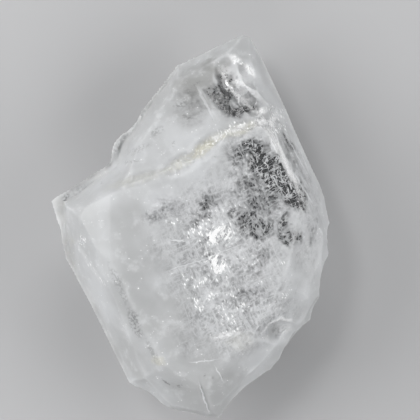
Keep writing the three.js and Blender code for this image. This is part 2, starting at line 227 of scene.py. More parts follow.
# where the relief lies: soft-edged patches with their radii in millimetres and turn in degrees
etchedPatches = [
    {"centre": (4.9, 2.4, 9.0), "radii": (2.6, 1.5, 3.0), "turn": -45},
    {"centre": (2.0, -1.2, 9.0), "radii": (2.3, 3.0, 3.0), "turn": 15},
    {"centre": (3.4, -5.4, 9.0), "radii": (2.6, 1.6, 3.0), "turn": 15},
    {"centre": (2.6, 7.9, 7.5), "radii": (1.9, 1.1, 2.4), "turn": -50, "strength": 0.6},
]
ledgePatches = [
    {"centre": (-3.2, 2.9, 8.8), "radii": (2.0, 0.4, 1.6), "turn": 16, "strength": 0.5},
    {"centre": (-0.5, 3.8, 8.8), "radii": (1.4, 0.55, 1.6), "turn": 28},
    {"centre": (0.95, 4.75, 8.8), "radii": (1.1, 0.55, 1.6), "turn": 40},
    {"centre": (2.9, 5.75, 8.8), "radii": (1.5, 0.5, 1.6), "turn": 20},
    {"centre": (4.9, 6.5, 7.8), "radii": (1.0, 0.7, 2.0), "turn": 50, "strength": 0.8},
    {"centre": (3.6, 7.6, 7.6), "radii": (1.2, 0.4, 1.8), "turn": -42},
]
scarPatches = [
    {"centre": (5.6, -6.5, 7.8), "radii": (0.95, 0.55, 1.8), "turn": 5},
]
scratchPatches = [
    {"centre": (0.05, -2.3, 9.0), "radii": (1.6, 0.11, 2.0), "turn": 18},
    {"centre": (2.2, -1.5, 9.0), "radii": (1.1, 0.11, 2.0), "turn": 22},
    {"centre": (0.9, -10.6, 8.0), "radii": (1.1, 0.12, 2.0), "turn": -72},
    {"centre": (2.2, -6.6, 9.0), "radii": (0.9, 0.12, 2.0), "turn": 14},
    {"centre": (-6.3, -2.1, 7.1), "radii": (1.7, 0.12, 2.0), "turn": -55, "strength": 0.3},
    {"centre": (1.0, 7.4, 8.0), "radii": (1.3, 0.12, 2.0), "turn": -62, "strength": 0.7},
]
flapPatches = [
    {"centre": (-4.5, 4.9, 3.6), "radii": (0.85, 0.7, 1.5), "turn": 59},
]
lumpPatches = [
    {"centre": (2.3, 9.4, 7.8), "radii": (0.7, 1.3, 1.8), "turn": 10},
    {"centre": (3.6, 9.3, 7.6), "radii": (1.2, 0.5, 1.8), "turn": -45},
    {"centre": (3.4, 7.9, 7.6), "radii": (1.3, 0.6, 1.8), "turn": -45},
    {"centre": (5.0, 6.7, 7.6), "radii": (0.9, 0.6, 1.8), "turn": 30, "strength": 0.35},
]
wornPatches = [
    {"centre": (7.4, -4.2, 6.5), "radii": (4.6, 1.3, 3.0), "turn": -80},
    {"centre": (5.2, -9.0, 6.0), "radii": (3.8, 1.2, 2.6), "turn": 42},
]
linedPatches = [
    {"centre": (6.4, 3.4, 7.0), "radii": (4.4, 1.3, 3.4), "turn": -64},
]
blendedPatches = [
    {"centre": (-5.3, 0.2, 9.0), "radii": (2.0, 3.0, 1.8), "turn": 0},
    {"centre": (-6.9, 0.6, 7.8), "radii": (1.1, 1.3, 2.2), "turn": 0, "strength": 0.6},
    {"centre": (-2.5, 6.2, 8.0), "radii": (3.9, 0.9, 2.4), "turn": 62, "strength": 0.5},
    {"centre": (7.0, -0.5, 8.8), "radii": (1.0, 2.2, 1.8), "turn": 0},
    {"centre": (0.8, 9.7, 8.2), "radii": (2.2, 0.7, 2.0), "turn": 28, "strength": 0.25},
    {"centre": (-3.9, -3.4, 8.8), "radii": (5.0, 0.8, 2.0), "turn": -72, "strength": 0.25},
    {"centre": (-4.4, 2.2, 8.8), "radii": (2.4, 0.7, 1.6), "turn": 18, "strength": 0.6},
    {"centre": (-2.6, 3.1, 8.8), "radii": (2.4, 0.6, 1.6), "turn": 18, "strength": 0.25},
    {"centre": (0.6, 4.5, 8.8), "radii": (1.8, 0.55, 1.6), "turn": 36, "strength": 0.06},
    {"centre": (3.2, 11.0, 6.5), "radii": (1.4, 1.1, 3.0), "turn": 0, "strength": 0.12},
    {"centre": (1.7, 10.4, 6.7), "radii": (1.7, 0.5, 1.2), "turn": 31, "strength": 0.45},
    {"centre": (6.5, -3.8, 8.8), "radii": (0.8, 2.2, 1.6), "turn": -20},
    {"centre": (3.6, -7.9, 8.8), "radii": (0.8, 1.9, 1.6), "turn": -50},
    {"centre": (0.2, -9.0, 8.8), "radii": (2.4, 0.8, 1.6), "turn": -10},
    {"centre": (1.0, -10.6, 7.8), "radii": (0.8, 1.4, 1.6), "turn": 0},
]


def buildStone():
    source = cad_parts["crystal"]
    stone = bpy.data.objects.new("stone", source.data.copy())
    bpy.context.scene.collection.objects.link(stone)
    stone.data.materials.clear()
    makeActive(stone)
    bpy.ops.object.mode_set(mode="EDIT")
    bpy.ops.mesh.select_all(action="SELECT")
    bpy.ops.mesh.remove_doubles(threshold=0.001 * mm)
    bpy.ops.object.mode_set(mode="OBJECT")

    rebuilt = stone.modifiers.new("rebuilt", "REMESH")
    rebuilt.mode = "SHARP"
    rebuilt.octree_depth = stoneShape["remesh"]["octree"]
    rebuilt.scale = stoneShape["remesh"]["scale"]
    rebuilt.sharpness = 1.0
    applyModifier(stone, rebuilt)
    closePinches()
    rubSmooth(stone, stoneShape["edgeWear"])
    print("stone rebuilt:", len(stone.data.polygons), "faces")
    return stone


def groupRelief(stone):
    # one vertex group for each kind of relief
    places = vertexPlaces(stone)
    ridges = stoneShape["sharpRidges"]
    offFloor = fadeIn(places[:, 2], **stoneShape["floorGap"])
    flat = offFloor * (1 - fadeIn(ridgeHeights(stone, ridges["rounds"]), 0, ridges["height"]))
    offCorner = flat * fadeIn(places[:, 0], **stoneShape["leftCorner"])
    groups = {
        "everywhere": flat,
        "sides": offCorner * fadeIn(places[:, 2], **stoneShape["lowerSides"]),
        "ledges": patchShare(places, ledgePatches),
        "scratched": patchShare(places, scratchPatches, 0.4, 1.5),
        "scarred": patchShare(places, scarPatches, 0.3, 1.5),
        "flap": patchShare(places, flapPatches, 0.2, 1.5),
        "lumpy": patchShare(places, lumpPatches),
        "worn": patchShare(places, wornPatches) * offFloor,
        "etched": patchShare(places, etchedPatches),
        "lined": patchShare(places, linedPatches),
        "blended": patchShare(places, blendedPatches),
    }
    for name, shares in groups.items():
        addVertexGroup(stone, name, shares)


def carveStone(stone):
    shape = stoneShape
    rubSmooth(stone, shape["blending"], "blended")
    pressRelief(stone, None, -shape["flap"]["height"], "flap")
    pressClouds(stone, shape["swells"], "everywhere")
    pressCells(stone, shape["scallops"], "worn")
    pressClouds(stone, shape["splinters"], "ledges", "HARD_NOISE", 2)
    pressRelief(stone, None, shape["scar"]["depth"], "scarred")
    pressClouds(stone, shape["lumps"], "lumpy", "HARD_NOISE")
    rubSmooth(stone, shape["lumps"]["rubbing"], "lumpy")
    pressClouds(stone, shape["etching"], "etched", "HARD_NOISE")
    pressCells(stone, shape["pits"], "sides")
    pressRelief(stone, None, shape["scratches"]["depth"], "scratched")
    fibres = shape["fibres"]
    pressStreaks(stone, fibres, fibres["heading"], {"etched": fibres["depth"]})
    growth = shape["growthLines"]
    pressStreaks(stone, growth, prismHeading, {"lined": growth["depth"], "sides": growth["sideDepth"]})
    print("stone carved")


def flattenRest(stone):
    # the face it lies on ends up exactly level
    makeActive(stone)
    bpy.ops.object.mode_set(mode="EDIT")
    bpy.ops.mesh.select_mode(type="VERT")
    bpy.ops.mesh.select_all(action="DESELECT")
    bpy.ops.object.mode_set(mode="OBJECT")
    low = vertexPlaces(stone)[:, 2] < stoneShape["restHeight"]
    stone.data.vertices.foreach_set("select", low)
    bpy.ops.object.mode_set(mode="EDIT")
    bpy.ops.transform.resize(value=(1, 1, 0), center_override=(0, 0, 0))
    bpy.ops.object.mode_set(mode="OBJECT")


stone = buildStone()
groupRelief(stone)
carveStone(stone)
flattenRest(stone)

# what lies in and on the stone, with painted glints, highlights and shade among it, in patches that are
# placed as the relief is
clearWindows = [
    {"centre": (3.9, 4.5, 9.0), "radii": (1.3, 0.6, 3.0), "turn": -8, "strength": 0.95},
    {"centre": (4.6, 3.8, 9.0), "radii": (1.4, 0.95, 3.0), "turn": -35, "strength": 0.95},
    {"centre": (5.1, 3.0, 9.0), "radii": (1.9, 1.1, 3.0), "turn": -50, "strength": 1.0},
    {"centre": (6.3, 1.9, 9.0), "radii": (1.5, 0.8, 3.0), "turn": -62, "strength": 1.0},
    {"centre": (4.5, 2.0, 9.0), "radii": (2.4, 1.6, 3.0), "turn": -55, "strength": 0.62},
    {"centre": (3.1, 4.3, 9.0), "radii": (1.0, 0.6, 3.0), "turn": 10, "strength": 0.7},
    {"centre": (3.9, 0.3, 9.0), "radii": (1.6, 1.2, 3.0), "turn": -30, "strength": 0.75},
    {"centre": (1.4, 1.3, 9.0), "radii": (0.6, 0.6, 3.0), "turn": 0, "strength": 0.62},
    {"centre": (5.9, -0.2, 9.0), "radii": (1.2, 0.6, 3.0), "turn": -80, "strength": 0.75},
    {"centre": (0.4, 0.4, 9.0), "radii": (1.0, 0.45, 3.0), "turn": 10, "strength": 0.6},
    {"centre": (-1.6, 1.0, 9.0), "radii": (1.3, 1.0, 3.0), "turn": 30, "strength": 0.4},
    {"centre": (1.1, -1.8, 9.0), "radii": (0.8, 0.5, 3.0), "turn": -30, "strength": 0.5},
    {"centre": (4.3, -2.0, 9.0), "radii": (1.2, 0.7, 3.0), "turn": 60, "strength": 0.5},
    {"centre": (3.3, -4.2, 9.0), "radii": (1.6, 1.2, 3.0), "turn": 0, "strength": 0.4},
    {"centre": (1.9, 8.6, 7.2), "radii": (1.0, 0.6, 2.8), "turn": -50, "strength": 1.0},
    {"centre": (2.1, 7.7, 7.2), "radii": (1.5, 0.65, 2.8), "turn": -45, "strength": 0.9},
    {"centre": (3.0, 7.05, 7.8), "radii": (1.0, 0.5, 2.8), "turn": -10, "strength": 1.0},
    {"centre": (0.4, 7.6, 7.8), "radii": (1.9, 1.2, 2.8), "turn": 0, "strength": 0.4},
    {"centre": (5.9, 5.2, 7.6), "radii": (1.1, 0.4, 2.8), "turn": -64, "strength": 0.75},
    {"centre": (6.6, 3.4, 7.6), "radii": (1.1, 0.3, 2.8), "turn": -64, "strength": 0.45},
    {"centre": (7.2, 0.7, 7.6), "radii": (0.5, 0.3, 2.8), "turn": -64, "strength": 0.5},
    {"centre": (7.3, -0.7, 7.6), "radii": (0.7, 0.3, 2.8), "turn": -70, "strength": 0.45},
]
frostedPatches = [
    {"centre": (2.0, -1.2, 9.0), "radii": (3.9, 4.0, 3.4), "turn": 0},
    {"centre": (3.0, -5.2, 8.6), "radii": (3.8, 2.3, 3.4), "turn": 20},
    {"centre": (4.6, 3.0, 8.6), "radii": (3.2, 2.0, 3.4), "turn": -45},
    {"centre": (2.6, 7.7, 7.6), "radii": (1.8, 1.1, 3.0), "turn": -45},
    {"centre": (6.4, 3.4, 7.6), "radii": (3.6, 1.0, 3.0), "turn": -64, "strength": 0.6},
    {"centre": (7.2, -1.0, 8.0), "radii": (0.9, 2.2, 3.0), "turn": 0, "strength": 0.45},
]
# where glints are painted into the colour as highlights, and the surface is also bumpier and more polished
glintPatches = [
    {"centre": (1.6, -0.5, 9.0), "radii": (1.3, 0.8, 3.0), "turn": 0},
    {"centre": (0.4, -0.2, 9.0), "radii": (0.8, 0.3, 3.0), "turn": 30, "strength": 0.7},
    {"centre": (1.8, -2.3, 9.0), "radii": (1.0, 0.7, 3.0), "turn": -64},
    {"centre": (1.3, 0.6, 9.0), "radii": (0.4, 0.3, 3.0), "turn": 0, "strength": 0.7},
    {"centre": (2.6, 0.9, 9.0), "radii": (0.6, 0.25, 3.0), "turn": 30, "strength": 0.6},
    {"centre": (0.1, -3.8, 9.0), "radii": (0.9, 0.5, 3.0), "turn": -64, "strength": 0.62},
    {"centre": (0.9, -4.6, 9.0), "radii": (0.7, 0.4, 3.0), "turn": 50, "strength": 0.85},
    {"centre": (2.3, -5.6, 9.0), "radii": (0.9, 0.45, 3.0), "turn": -40, "strength": 0.65},
    {"centre": (3.2, 9.8, 8.0), "radii": (0.9, 0.4, 3.0), "turn": -42, "strength": 0.6},
    {"centre": (5.4, 6.2, 7.6), "radii": (0.9, 0.7, 3.0), "turn": 30, "strength": 0.7},
    {"centre": (5.3, 7.0, 7.6), "radii": (0.8, 0.5, 3.0), "turn": 0, "strength": 0.8},
    {"centre": (1.7, 5.3, 8.6), "radii": (0.6, 0.35, 3.0), "turn": 40, "strength": 0.6},
    {"centre": (3.0, 5.85, 8.6), "radii": (0.9, 0.4, 3.0), "turn": 20, "strength": 0.65},
    {"centre": (4.4, 6.2, 8.6), "radii": (0.6, 0.45, 3.0), "turn": 20, "strength": 0.85},
    {"centre": (-6.6, -0.9, 8.0), "radii": (0.25, 0.2, 3.0), "turn": 0},
    {"centre": (-0.5, -3.2, 9.0), "radii": (0.4, 0.25, 3.0), "turn": 60, "strength": 0.7},
    {"centre": (1.6, -4.2, 9.0), "radii": (0.5, 0.25, 3.0), "turn": 30, "strength": 0.75},
    {"centre": (2.0, -5.0, 9.0), "radii": (0.35, 0.25, 3.0), "turn": 0, "strength": 0.8},
    {"centre": (3.2, -4.9, 9.0), "radii": (0.35, 0.2, 3.0), "turn": -60, "strength": 0.75},
    {"centre": (5.8, -4.2, 9.0), "radii": (0.25, 0.35, 3.0), "turn": 0, "strength": 0.8},
    {"centre": (-0.9, 0.2, 9.0), "radii": (0.6, 0.15, 3.0), "turn": 10, "strength": 0.6},
    {"centre": (5.6, -2.3, 9.0), "radii": (0.25, 0.2, 3.0), "turn": 0, "strength": 0.7},
    {"centre": (-5.9, -2.6, 8.0), "radii": (1.5, 0.16, 3.0), "turn": -55, "strength": 0.45},
    {"centre": (3.9, -2.1, 9.0), "radii": (0.45, 0.35, 3.0), "turn": 0, "strength": 0.6},
    {"centre": (2.6, -4.3, 9.0), "radii": (0.6, 0.3, 3.0), "turn": 60, "strength": 0.7},
    {"centre": (1.1, -3.3, 9.0), "radii": (0.8, 0.3, 3.0), "turn": 20, "strength": 0.6},
    {"centre": (2.5, -6.5, 9.0), "radii": (0.8, 0.2, 3.0), "turn": 14, "strength": 0.6},
]
stainPatches = [
    {"centre": (-3.2, 2.8, 8.8), "radii": (2.2, 0.30, 3.0), "turn": 16, "strength": 0.25},
    {"centre": (-0.5, 3.8, 8.8), "radii": (1.5, 0.36, 3.0), "turn": 28, "strength": 0.45},
    {"centre": (0.95, 4.75, 8.8), "radii": (1.2, 0.38, 3.0), "turn": 40, "strength": 0.95},
    {"centre": (2.9, 5.75, 8.8), "radii": (1.5, 0.32, 3.0), "turn": 20, "strength": 0.65},
    {"centre": (-1.9, -8.2, 8.8), "radii": (0.4, 0.3, 3.0), "turn": 0, "strength": 0.6},
    {"centre": (3.1, -7.0, 8.8), "radii": (0.9, 0.6, 3.0), "turn": 0, "strength": 0.2},
    {"centre": (-7.3, -1.0, 8.0), "radii": (0.25, 0.35, 3.0), "turn": 0, "strength": 0.5},
]
darkFlaws = [
    {"centre": (6.25, 1.75, 8.8), "radii": (0.75, 0.34, 3.0), "turn": -62, "strength": 0.8},
    {"centre": (5.0, 3.5, 8.8), "radii": (0.6, 0.3, 3.0), "turn": -50, "strength": 0.5},
    {"centre": (-4.3, -3.6, 8.8), "radii": (1.6, 0.22, 3.0), "turn": -66, "strength": 0.35},
    {"centre": (-3.3, -5.9, 8.8), "radii": (1.0, 0.35, 3.0), "turn": -66, "strength": 0.6},
    {"centre": (-2.3, -7.6, 8.8), "radii": (0.9, 0.2, 3.0), "turn": -60, "strength": 0.3},
    {"centre": (-5.6, -6.4, 7.0), "radii": (0.5, 0.3, 4.0), "turn": -62, "strength": 0.5},
    {"centre": (-6.1, -5.3, 7.0), "radii": (0.4, 0.2, 4.0), "turn": -62, "strength": 0.4},
    {"centre": (-2.0, 5.7, 7.6), "radii": (0.5, 0.3, 3.0), "turn": 40, "strength": 0.35},
    {"centre": (-3.2, 4.6, 7.6), "radii": (0.9, 0.2, 3.0), "turn": 20, "strength": 0.3},
    {"centre": (-7.7, 1.7, 5.0), "radii": (0.34, 0.16, 3.0), "turn": 60, "strength": 1.0},
    {"centre": (-0.6, 7.4, 7.8), "radii": (0.5, 0.14, 3.0), "turn": 10, "strength": 0.5},
    {"centre": (0.5, 8.7, 7.8), "radii": (0.35, 0.15, 3.0), "turn": 30, "strength": 0.45},
    {"centre": (-0.2, 6.6, 7.8), "radii": (0.3, 0.12, 3.0), "turn": -20, "strength": 0.45},
    {"centre": (-3.6, 3.9, 7.8), "radii": (0.8, 0.10, 3.0), "turn": 5, "strength": 0.4},
    {"centre": (-1.0, 4.9, 7.8), "radii": (0.25, 0.10, 3.0), "turn": 40, "strength": 0.5},
    {"centre": (-5.4, 2.65, 8.8), "radii": (0.15, 0.08, 3.0), "turn": 60, "strength": 0.9},
    {"centre": (-1.4, -9.6, 8.0), "radii": (0.4, 0.08, 3.0), "turn": -32, "strength": 0.7},
    {"centre": (5.2, -6.4, 8.4), "radii": (0.25, 0.45, 3.0), "turn": 10, "strength": 0.35},
    {"centre": (-0.55, -9.75, 8.0), "radii": (0.13, 0.10, 3.0), "turn": 0, "strength": 0.9},
    {"centre": (0.95, -9.1, 8.0), "radii": (0.12, 0.07, 3.0), "turn": 30, "strength": 0.8},
    {"centre": (1.45, -9.2, 8.0), "radii": (0.10, 0.06, 3.0), "turn": 60, "strength": 0.8},
    {"centre": (1.95, -9.2, 8.0), "radii": (0.12, 0.06, 3.0), "turn": 110, "strength": 0.7},
]
# painted highlights on the knobbly ridge below the tip and along the ledge, and some real white lines and
# scratches
highlightAndWhitePatches = [
    {"centre": (5.75, 3.9, 8.6), "radii": (2.9, 0.2, 3.0), "turn": -64, "strength": 0.9},
    {"centre": (2.2, -6.6, 9.0), "radii": (0.9, 0.12, 3.0), "turn": 14, "strength": 0.6},
    {"centre": (4.68, -6.17, 8.4), "radii": (0.4, 0.07, 1.4), "turn": 52, "strength": 0.6},
    {"centre": (5.2, -5.77, 8.4), "radii": (0.4, 0.08, 1.4), "turn": 22, "strength": 0.8},
    {"centre": (5.85, -5.73, 8.4), "radii": (0.45, 0.09, 1.4), "turn": -16, "strength": 0.75},
    {"centre": (5.8, -6.3, 7.8), "radii": (0.5, 0.35, 2.0), "turn": 20, "strength": 0.35},
    {"centre": (-6.3, -2.1, 8.0), "radii": (1.6, 0.14, 3.0), "turn": -55, "strength": 0.15},
    {"centre": (2.84, 10.2, 8.0), "radii": (0.36, 0.22, 3.0), "turn": -30, "strength": 1.0},
    {"centre": (3.7, 9.5, 8.0), "radii": (0.6, 0.18, 3.0), "turn": -45, "strength": 1.0},
    {"centre": (2.4, 8.4, 8.0), "radii": (0.3, 0.22, 3.0), "turn": 0, "strength": 1.0},
    {"centre": (3.3, 7.6, 8.0), "radii": (1.3, 0.17, 3.0), "turn": -43, "strength": 0.75},
    {"centre": (4.4, 6.9, 8.0), "radii": (0.4, 0.2, 3.0), "turn": 20, "strength": 0.8},
    {"centre": (5.1, 6.4, 8.0), "radii": (0.7, 0.2, 3.0), "turn": 60, "strength": 0.7},
    {"centre": (2.8, 8.8, 8.0), "radii": (0.3, 0.25, 3.0), "turn": 0, "strength": 0.9},
    {"centre": (3.1, 8.7, 8.0), "radii": (0.7, 1.0, 3.0), "turn": 30, "strength": 0.3},
    {"centre": (1.6, 5.35, 8.8), "radii": (0.3, 0.10, 3.0), "turn": 40, "strength": 0.8},
    {"centre": (3.0, 5.95, 8.8), "radii": (0.5, 0.12, 3.0), "turn": 25, "strength": 0.9},
    {"centre": (4.4, 6.3, 8.6), "radii": (0.4, 0.14, 3.0), "turn": 10, "strength": 1.0},
    {"centre": (2.2, 9.1, 8.0), "radii": (0.4, 0.8, 3.0), "turn": 8, "strength": 0.65},
]
# darker, duller milk: partly the stone's own greyer tone, partly painted shade on the upper end, in the
# scar's hollow and over the left corner
dullAndShadedPatches = [
    {"centre": (1.4, 9.9, 6.6), "radii": (1.9, 1.1, 3.0), "turn": 30, "strength": 0.5},
    {"centre": (1.5, 9.6, 7.0), "radii": (1.1, 0.7, 3.0), "turn": 30, "strength": 1.0},
    {"centre": (-8.2, 1.2, 7.0), "radii": (0.5, 1.1, 4.0), "turn": 0, "strength": 0.6},
    {"centre": (5.0, -6.5, 7.8), "radii": (0.35, 0.5, 2.0), "turn": -20, "strength": 0.5},
    {"centre": (0.1, 8.7, 7.8), "radii": (2.1, 2.3, 3.0), "turn": 0, "strength": 1.0},
    {"centre": (6.2, 4.2, 7.6), "radii": (2.6, 0.8, 3.0), "turn": -64, "strength": 0.2},
    {"centre": (0.6, -7.8, 8.6), "radii": (2.6, 1.6, 3.0), "turn": 0, "strength": 0.5},
    {"centre": (7.4, -1.0, 7.6), "radii": (1.4, 2.6, 4.0), "turn": 0, "strength": 0.1},
    {"centre": (0.9, 4.8, 8.8), "radii": (1.7, 0.6, 3.0), "turn": 38, "strength": 0.4},
    {"centre": (0.5, -10.5, 7.8), "radii": (3.4, 1.8, 4.0), "turn": 0, "strength": 0.05},
    {"centre": (-6.2, 0.6, 8.6), "radii": (1.5, 2.6, 3.0), "turn": 0, "strength": 0.35},
    {"centre": (-4.7, 5.1, 4.0), "radii": (0.5, 1.2, 2.0), "turn": -31, "strength": 0.8},
    {"centre": (-0.6, -4.8, 9.0), "radii": (2.2, 2.0, 3.0), "turn": 0, "strength": 0.5},
    {"centre": (-3.8, -8.0, 7.0), "radii": (1.0, 2.6, 4.0), "turn": 28, "strength": 0.5},
    {"centre": (-7.0, 1.2, 7.0), "radii": (1.4, 1.6, 4.0), "turn": 0, "strength": 0.3},
]
# the sides and the back are clear in places and frosted in others, scattered by noise
backLook = {
    "height": {"start": 5.2, "width": -1.2},  # it is what lies under this height
    "corner": {"start": -7.8, "width": 0.8},  # apart from the thin corner on the left
    "windows": {"size": 1.8, "low": 0.15, "high": 0.5},
    "windowStrength": 0.6,
    "frost": {"size": 3.0, "low": -0.05, "high": 0.3},
    "frostShift": 40,  # takes the frost's noise from elsewhere than the windows'
}
ridgeHighlightLook = {"rounds": 10, "height": 0.06, "blendedLoss": 0.9, "ledgeShare": 0.7}  # painted highlight: raised ridges and edges are painted paler


def markPatches(stone):
    # a drift has a size and a reach; a patch's rim starts and ends at the last two numbers, in its radii
    places = vertexPlaces(stone)
    wavy = drifted(places, 0.5, 0.15)
    ragged = drifted(drifted(places, 1.4, 0.7), 0.35, 0.25)

    back = fadeIn(places[:, 2], **backLook["height"]) * fadeIn(places[:, 0], **backLook["corner"])
    backWindows = backLook["windowStrength"] * back * cloudShare(ragged, **backLook["windows"])
    backFrost = back * cloudShare(places + backLook["frostShift"], **backLook["frost"])
    frosted = patchShare(ragged, frostedPatches, 0.5, 1.3)
    frosted *= 1 - patchShare(places, scarPatches, 0.5, 1.4)

    storeShare(stone, "windows", np.maximum(patchShare(ragged, clearWindows, 0.4, 1.3), backWindows))
    storeShare(stone, "frosted", np.maximum(frosted, backFrost))
    storeShare(stone, "glints", patchShare(drifted(places, 0.6, 0.3), glintPatches, 0.5, 1.3))
    storeShare(stone, "dullAndShaded", patchShare(ragged, dullAndShadedPatches, 0.3, 1.4))
    storeShare(stone, "highlightsAndWhite", patchShare(drifted(places, 0.35, 0.12), highlightAndWhitePatches, 0.4, 1.5))
    storeShare(stone, "stains", patchShare(wavy, stainPatches, 0.5, 1.3))
    storeShare(stone, "flaws", patchShare(wavy, darkFlaws, 0.5, 1.3))


def markRidgeHighlights(stone):
    # painted highlight: the further a point stands out as a ridge, the paler it is painted, less where edges
    # are rubbed smooth or broken into ledges
    places = vertexPlaces(stone)
    worn = np.maximum(patchShare(places, blendedPatches),
                      ridgeHighlightLook["ledgeShare"] * patchShare(places, ledgePatches))
    heights = fadeIn(ridgeHeights(stone, ridgeHighlightLook["rounds"]), 0, ridgeHighlightLook["height"])
    storeShare(stone, "ridges", (1 - ridgeHighlightLook["blendedLoss"] * worn) * heights)


markPatches(stone)
markRidgeHighlights(stone)
print("stone marked")


def addNode(tree, kind, settings=None, values=None):
    made = tree.nodes.new(kind)
    for name, value in (settings or {}).items():
        setattr(made, name, value)
    for name, value in (values or {}).items():
        if isinstance(value, bpy.types.NodeSocket):
            tree.links.new(value, made.inputs[name])
        else:
            made.inputs[name].default_value = value
    return made


def calc(tree, operation, first, second=0.5):
    return addNode(tree, "ShaderNodeMath", {"operation": operation}, {0: first, 1: second}).outputs[0]


def times(tree, first, second):
    return calc(tree, "MULTIPLY", first, second)


def most(tree, first, second):
    return calc(tree, "MAXIMUM", first, second)


def ramp(tree, value, low, high, start=0.0, end=1.0):
    values = {"Value": value, "From Min": low, "From Max": high, "To Min": start, "To Max": end}
    settings = {"interpolation_type": "SMOOTHSTEP"}
    return addNode(tree, "ShaderNodeMapRange", settings, values).outputs["Result"]


def blendColour(tree, share, first, second):
    values = {0: share, 6: first, 7: second}
    for socket in (6, 7):
        if isinstance(values[socket], tuple):
            values[socket] = (*values[socket], 1)
    return addNode(tree, "ShaderNodeMix", {"data_type": "RGBA"}, values).outputs[2]


def blendValue(tree, share, first, second):
    return addNode(tree, "ShaderNodeMix", {"data_type": "FLOAT"}, {0: share, 2: first, 3: second}).outputs[0]


def grainy(tree, place, scale, detail=2.0, rough=0.5, part="Fac"):
    values = {"Vector": place, "Scale": scale, "Detail": detail, "Roughness": rough}
    return addNode(tree, "ShaderNodeTexNoise", None, values).outputs[part]


def stored(tree, name):
    return addNode(tree, "ShaderNodeAttribute", {"attribute_name": name}).outputs["Fac"]


def layout(tree, place, centre=(0, 0, 0), radii=(1, 1, 1), turn=0):
    # the place as counted from a patch's own middle, turned with it, in its own radii
    values = {"Vector": place, "Location": centre, "Rotation": (0, 0, math.radians(turn)), "Scale": radii}
    return addNode(tree, "ShaderNodeMapping", {"vector_type": "TEXTURE"}, values).outputs[0]


def softPatches(tree, place, patches, inner=0.55, outer=1.25):
    total = None
    for patch in patches:
        local = layout(tree, place, patch["centre"], patch["radii"], patch["turn"])
        reach = addNode(tree, "ShaderNodeVectorMath", {"operation": "LENGTH"}, {0: local}).outputs["Value"]
        share = ramp(tree, reach, inner, outer, patch["strength"], 0.0)
        total = share if total is None else most(tree, total, share)
    return total


def pushed(tree, place, scale, reach):
    # the place, moved about by noise, so that a line or a patch comes out ragged
    drift = grainy(tree, place, scale, 3.0, 0.6, "Color")
    middle = addNode(tree, "ShaderNodeVectorMath", {"operation": "SUBTRACT"}, {0: drift, 1: (0.5, 0.5, 0.5)})
    values = {0: middle.outputs[0], 1: (reach, reach, reach), 2: place}
    return addNode(tree, "ShaderNodeVectorMath", {"operation": "MULTIPLY_ADD"}, values).outputs[0]


def brushed(tree, place, heading):
    # noise drawn out along a heading
    along = layout(tree, place, (0, 0, 0), (0.9, 0.25, 0.25), heading)
    return grainy(tree, along, 1.0, 3.0, 0.7)


def strands(tree, place, heading, scale, stretch, width):
    # hair-thin curved lines that run roughly along a heading, and break off here and there
    turned = layout(tree, place, (0, 0, 0), (stretch / scale, 1 / scale, 1 / scale), heading)
    level = calc(tree, "ABSOLUTE", calc(tree, "SUBTRACT", grainy(tree, turned, 1.0, 1.0), 0.5))
    line = ramp(tree, level, 0.0, width, 1.0, 0.0)
    return times(tree, line, ramp(tree, grainy(tree, turned, 1.7, 1.0), 0.36, 0.55))


def flecks(tree, place, size, share, stretch=1.0, heading=0):
    # whole cells of a cracked pattern, of which the given share is picked
    turned = layout(tree, place, (0, 0, 0), (size * stretch, size, size), heading)
    cells = addNode(tree, "ShaderNodeTexVoronoi", {"distance": "MANHATTAN"}, {"Vector": turned, "Scale": 1.0})
    shade = addNode(tree, "ShaderNodeSeparateColor", None, {"Color": cells.outputs["Color"]}).outputs[1]
    picked = ramp(tree, shade, 1 - share - 0.05, 1 - share + 0.05)
    return times(tree, picked, ramp(tree, cells.outputs["Distance"], 0.35, 0.75, 1.0, 0.0))


# how the mineral looks, sizes in millimetres and headings in degrees from X
phenakiteLook = {
    # colours: the body first, then what lies in it
    "milk": (0.57, 0.58, 0.59),
    "dullAndShadedMilk": (0.30, 0.302, 0.296),
    "frost": (0.70, 0.71, 0.72),
    # the windows' dark is painted shade, standing for a dark ground seen through the clear stone
    "window": (0.11, 0.113, 0.117),
    "field": (0.31, 0.314, 0.32),
    "haze": (0.24, 0.244, 0.25),
    "hair": (0.79, 0.80, 0.81),
    "stain": (0.55, 0.535, 0.45),
    "backBeige": (0.42, 0.41, 0.375),
    # the white of the painted glints and highlights, and of some white marks
    "glint": (0.99, 0.99, 0.99),
    # how clear and how polished the milk, the windows and the glints are
    "milkClearness": 0.22,
    "windowClearness": 0.92,
    "milkRoughness": (0.46, 0.62),
    "windowRoughness": 0.12,
    "glintRoughness": 0.16,
    "ior": 1.66,
    "depthTint": (0.90, 0.90, 0.89),
    "tintDensity": 150,  # for each metre of depth
    "scatterShare": 0.8,  # how much of the milk's light is scattered under the surface
    "scatterReach": 0.8,
    "bump": {"strength": 0.4, "depth": 0.04},
    "hairHeading": 28,  # the second way the hairs run, across the prism's own
    "needles": [  # straight pale needles that cross in the windows
        {"size": 0.09, "share": 0.3, "stretch": 7.0, "heading": 62},
        {"size": 0.08, "share": 0.3, "stretch": 7.0, "heading": 150},
        {"size": 0.10, "share": 0.3, "stretch": 7.0, "heading": 95},
    ],
    "strokes": [  # fine dark strokes in the frosted field
        {"size": 0.07, "share": 0.22, "stretch": 6.0, "heading": 14},
        {"size": 0.06, "share": 0.2, "stretch": 5.0, "heading": 118},
    ],
}
